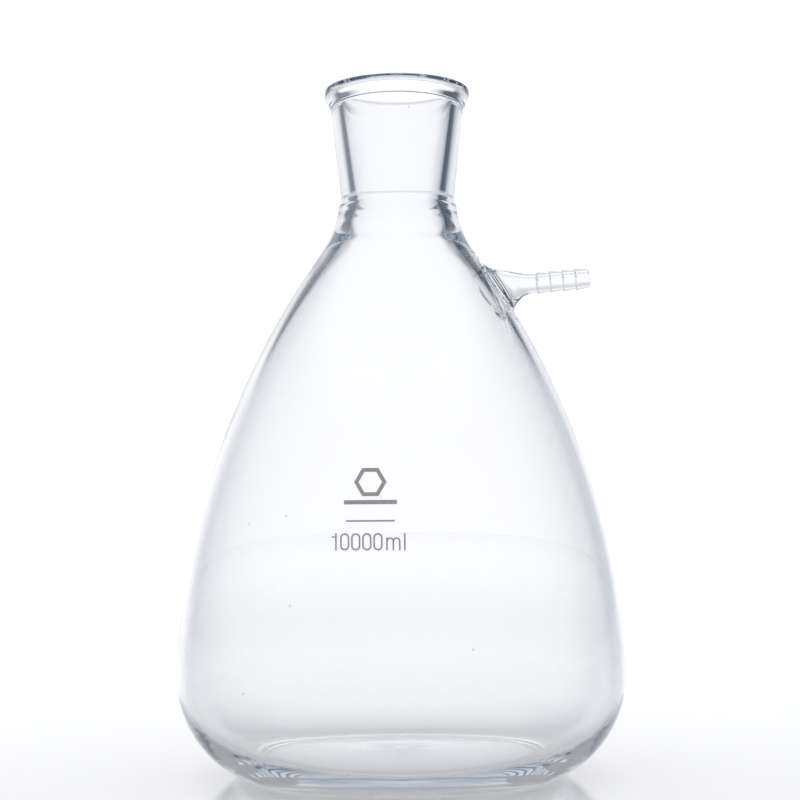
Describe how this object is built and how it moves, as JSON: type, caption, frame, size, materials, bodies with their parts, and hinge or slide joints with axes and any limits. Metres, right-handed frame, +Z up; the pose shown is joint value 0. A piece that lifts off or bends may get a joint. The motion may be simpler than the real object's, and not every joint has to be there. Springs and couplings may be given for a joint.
{
  "type": "buchner flask",
  "caption": "Large pear-shaped filter flask in thick clear glass, with a tapered collared neck, a serrated hose nozzle on the shoulder and a printed capacity mark.",
  "frame": {"origin": "centre of the foot ring, on the surface that the flask stands on", "axes": "+Z up the flask's axis, +X towards the side arm, -Y the printed front"},
  "size_m": [0.2608, 0.2608, 0.4028],
  "materials": {
    "clear_glass": "clear, polished",
    "grey_enamel": "fired-on enamel, satin"
  },
  "bodies": {
    "root": {"flask_body": "clear_glass", "neck": "clear_glass", "side_arm": "clear_glass", "capacity_mark": "grey_enamel", "lower_bar_mark": "grey_enamel", "upper_bar_mark": "grey_enamel", "emblem_mark": "grey_enamel"}
  },
  "joints": []
}
